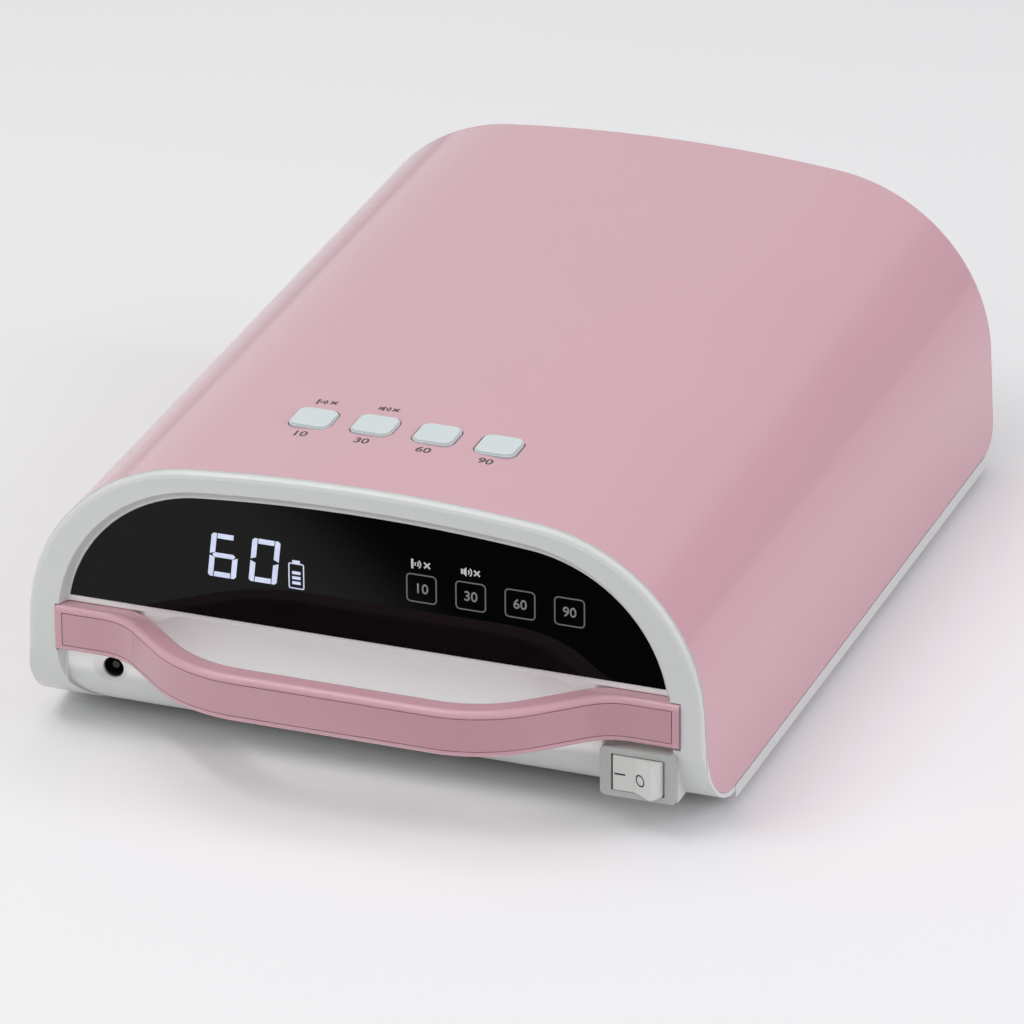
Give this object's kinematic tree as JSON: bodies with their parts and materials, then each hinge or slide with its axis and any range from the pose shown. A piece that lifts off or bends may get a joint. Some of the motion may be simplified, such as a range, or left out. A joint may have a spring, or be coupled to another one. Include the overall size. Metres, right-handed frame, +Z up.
{
  "type": "cordless nail lamp",
  "caption": "Arched cordless nail-curing lamp with a front carrying handle, black display window, timer buttons, rocker switch, rear hand tunnel and lift-off base tray.",
  "frame": {"origin": "on the table, in the middle of the footprint", "axes": "+X to the right seen from the display end, +Y from the handle and display end to the hand opening, +Z up"},
  "size_m": [0.1968, 0.2748, 0.0895],
  "materials": {
    "pink_shell": "glossy pale pink",
    "white_frame": "satin white",
    "black_lens": "glossy black acrylic",
    "pink_grip": "glossy pale pink",
    "pink_inlay": "satin dusty pink",
    "screw_steel": "zinc-plated",
    "switch_white": "glossy off-white",
    "contact_brass": "plain",
    "socket_black": "plain black",
    "button_white": "glossy translucent white",
    "board_green": "solder-mask green",
    "part_black": "plain black",
    "display_black": "matt black",
    "light_white": "matt white",
    "alu_parts": "satin",
    "cell_wrap": "blue wrap",
    "tab_nickel": "nickel strip",
    "liner_white": "reflective white",
    "led_board": "white-coated aluminium",
    "led_clear": "clear dome over a yellow chip",
    "sensor_dark": "dark infrared window",
    "magnet_steel": "nickel-plated magnet",
    "tray_white": "satin white",
    "mirror_sheet": "reflective sheet",
    "foot_rubber": "black rubber"
  },
  "bodies": {
    "tray": {"base_tray": "tray_white", "tray_liner": "mirror_sheet", "tray_magnets": "magnet_steel", "rubber_feet": "foot_rubber"},
    "lamp": {"shell_cover": "pink_shell", "front_bezel": "white_frame", "display_lens": "black_lens", "handle_grip": "pink_grip", "handle_inlay": "pink_inlay", "handle_screws": "screw_steel", "switch_housing": "switch_white", "switch_terminals": "contact_brass", "dc_socket": "socket_black", "button_board": "board_green", "tact_switches": "part_black", "board_screws": "screw_steel", "display_board": "board_green", "digit_module": "display_black", "icon_light_box": "light_white", "control_board": "board_green", "power_parts": "alu_parts", "buzzer": "part_black", "battery_cells": "cell_wrap", "battery_cradle": "part_black", "cell_tabs": "tab_nickel", "chassis_floor": "white_frame", "chassis_screws": "screw_steel", "inner_liner": "liner_white", "led_boards": "led_board", "led_beads": "led_clear", "rear_frame": "white_frame", "ir_sensors": "sensor_dark", "lamp_magnets": "magnet_steel"},
    "rocker": {"switch_rocker": "switch_white"},
    "push_10": {"button_10": "button_white"},
    "push_30": {"button_30": "button_white"},
    "push_60": {"button_60": "button_white"},
    "push_90": {"button_90": "button_white"}
  },
  "joints": [
    {"name": "lamp_lift", "type": "slide", "parent": "tray", "child": "lamp", "axis": [0, 0, 1], "range_m": [0, 0.06]},
    {"name": "rocker_swing", "type": "hinge", "parent": "lamp", "child": "rocker", "pos_m": [0.0792, -0.1121, 0.0184], "axis": [0, 0, 1], "range_deg": [0, 32]},
    {"name": "press_10", "type": "slide", "parent": "lamp", "child": "push_10", "axis": [0, 0, -1], "range_m": [0, 0.0006], "stiffness_N_per_m": 2500},
    {"name": "press_30", "type": "slide", "parent": "lamp", "child": "push_30", "axis": [0, 0, -1], "range_m": [0, 0.0006], "stiffness_N_per_m": 2500},
    {"name": "press_60", "type": "slide", "parent": "lamp", "child": "push_60", "axis": [0, 0, -1], "range_m": [0, 0.0006], "stiffness_N_per_m": 2500},
    {"name": "press_90", "type": "slide", "parent": "lamp", "child": "push_90", "axis": [0, 0, -1], "range_m": [0, 0.0006], "stiffness_N_per_m": 2500}
  ]
}
